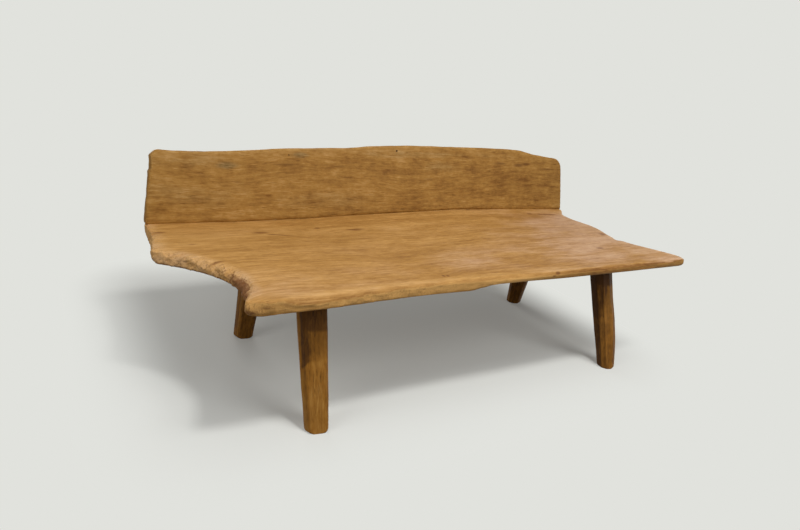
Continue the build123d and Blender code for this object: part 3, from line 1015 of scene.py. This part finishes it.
for seed, name in enumerate(LEGS, start=1):
    leg = carved_from(name, "hewn_" + name, LEG_FINENESS)
    plain_points = points_of(leg)
    shape_leg(leg, name, seed)
    paint_leg(leg, name, seed, plain_points)
    dress(leg, name, leg_wood)

for name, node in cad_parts.items():
    if "wedge" in name or "peg" in name:
        node.data.materials.clear()
        node.data.materials.append(peg_finish)


# Stage: floor, light and camera

def backdrop_share(finish):
    """1 for the rays that show the plain background: camera, mirror and clear ones."""
    path = finish.node("ShaderNodeLightPath").socket.node.outputs
    rays = [Shade(finish, path[name]) for name in ("Is Camera Ray", "Is Glossy Ray", "Is Transmission Ray")]
    return rays[0].at_least(rays[1]).at_least(rays[2])


FLOOR_REACH = 30
FLOOR_TONE = 0.71  # of the floor as it is seen
FLOOR_BOUNCE = 0.22  # of the floor as it lights the bench from below
SHADOW_FILL = 0.1  # share of the plain backdrop that is mixed into the shadow everywhere
SHADOW_PLACE = (-0.10, 0.25, 0)  # middle and half-sizes of the place round which it fades into the backdrop
SHADOW_ROOM = (0.75, 0.55, 0)
SHADOW_FADE = 0.36


def studio_floor():
    """A pale floor that takes the shadow of the bench and is the plain backdrop beyond it."""
    mesh = bpy.data.meshes.new("floor")
    corners = [(a * FLOOR_REACH, b * FLOOR_REACH, 0) for a, b in ((-1, -1), (1, -1), (1, 1), (-1, 1))]
    mesh.from_pydata(corners, [], [(0, 1, 2, 3)])
    floor = bpy.data.objects.new("floor", mesh)
    bpy.context.scene.collection.objects.link(floor)
    finish = Finish(bpy.data.materials.new("pale_floor"))
    shown = backdrop_share(finish)
    place = finish.vector("SUBTRACT", finish.node("ShaderNodeTexCoord", output="Object"), SHADOW_PLACE)
    beyond = finish.vector("SUBTRACT", finish.vector("ABSOLUTE", place), SHADOW_ROOM)
    far = finish.vector("LENGTH", finish.vector("MAXIMUM", beyond), output=1).rise(0.0, SHADOW_FADE)
    tint = [value * FLOOR_TONE / BACKDROP[1] for value in BACKDROP[:3]]
    lit = finish.blend(shown, (FLOOR_BOUNCE,) * 3 + (1,), (*tint, 1))
    matt = finish.node("ShaderNodeBsdfDiffuse", sockets={"Color": lit})
    plain = finish.node("ShaderNodeEmission", sockets={"Color": BACKDROP, "Strength": 1.0})
    share = shown * (far * (1 - SHADOW_FILL) + SHADOW_FILL)
    above = finish.node("ShaderNodeMixShader", sockets={0: share, 1: matt, 2: plain})
    # From below the floor is clear, so that the underside of the bench can be seen
    clear = finish.node("ShaderNodeBsdfTransparent")
    under = finish.node("ShaderNodeNewGeometry", output="Backfacing")
    mixed = finish.node("ShaderNodeMixShader", sockets={0: under, 1: above, 2: clear})
    mesh.materials.append(finish.surface(mixed))


AMBIENT = 0.25


def studio_world():
    """Soft light from all round, with the plain backdrop where it is seen."""
    finish = Finish(bpy.data.worlds.new("studio"))
    soft = finish.node("ShaderNodeBackground", sockets={"Color": (1, 1, 1, 1), "Strength": AMBIENT})
    plain = finish.node("ShaderNodeBackground", sockets={"Color": BACKDROP, "Strength": 1.0})
    mixed = finish.node("ShaderNodeMixShader", sockets={0: backdrop_share(finish), 1: soft, 2: plain})
    bpy.context.scene.world = finish.surface(mixed)


LAMP_AIM = Vector((0, 0, 0.35))
# Turn to the right of the front and rise of each lamp, in degrees, then its distance, width and share
LAMPS = {
    "top_lamp": (6, 70, 4.0, 0.5, 0.375),
    "right_lamp": (32, 63, 4.0, 1.0, 0.15),
    "front_lamp": (28, 34, 4.5, 2.2, 0.155),
    "left_lamp": (-75, 24, 2.6, 1.2, 0.075),
    "rear_lamp": (180, 8, 4.0, 2.0, 0.05),
}


def lamp(name, turn, rise, distance, width, share):
    """A soft square lamp. Share is the light it gives a level surface, where 1 shows a colour as it is."""
    turn, rise = math.radians(turn), math.radians(rise)
    away = Vector((math.sin(turn) * math.cos(rise), -math.cos(turn) * math.cos(rise), math.sin(rise)))
    light = bpy.data.lights.new(name, "AREA")
    light.size = width
    light.energy = share * (math.pi * distance) ** 2 / math.sin(rise)
    made = bpy.data.objects.new(name, light)
    made.visible_camera = False
    made.location = LAMP_AIM + away * distance
    made.rotation_euler = away.to_track_quat("Z", "Y").to_euler()
    bpy.context.scene.collection.objects.link(made)


CAMERA_PLACE = (-1.2261, -1.7583, 1.0421)
CAMERA_TURN = 31.92  # in degrees, to the right of straight ahead
CAMERA_DIP = 19.10
CAMERA_TILT = 7.0
CAMERA_LENS = 27  # in millimetres, as is the sensor
CAMERA_SENSOR = 36


def photo_camera():
    """The camera that sees the bench as the photo does."""
    camera = bpy.data.cameras.new("camera")
    camera.lens = CAMERA_LENS
    camera.sensor_width = CAMERA_SENSOR
    camera.sensor_fit = "HORIZONTAL"
    made = bpy.data.objects.new("camera", camera)
    turn = Matrix.Rotation(-math.radians(CAMERA_TURN), 4, "Z")
    dip = Matrix.Rotation(math.radians(90 - CAMERA_DIP), 4, "X")
    tilt = Matrix.Rotation(math.radians(CAMERA_TILT), 4, "Z")
    made.matrix_world = Matrix.Translation(CAMERA_PLACE) @ turn @ dip @ tilt
    bpy.context.scene.collection.objects.link(made)
    bpy.context.scene.camera = made


studio_floor()
studio_world()
for name, values in LAMPS.items():
    lamp(name, *values)
photo_camera()
bpy.context.scene.view_settings.view_transform = "Standard"
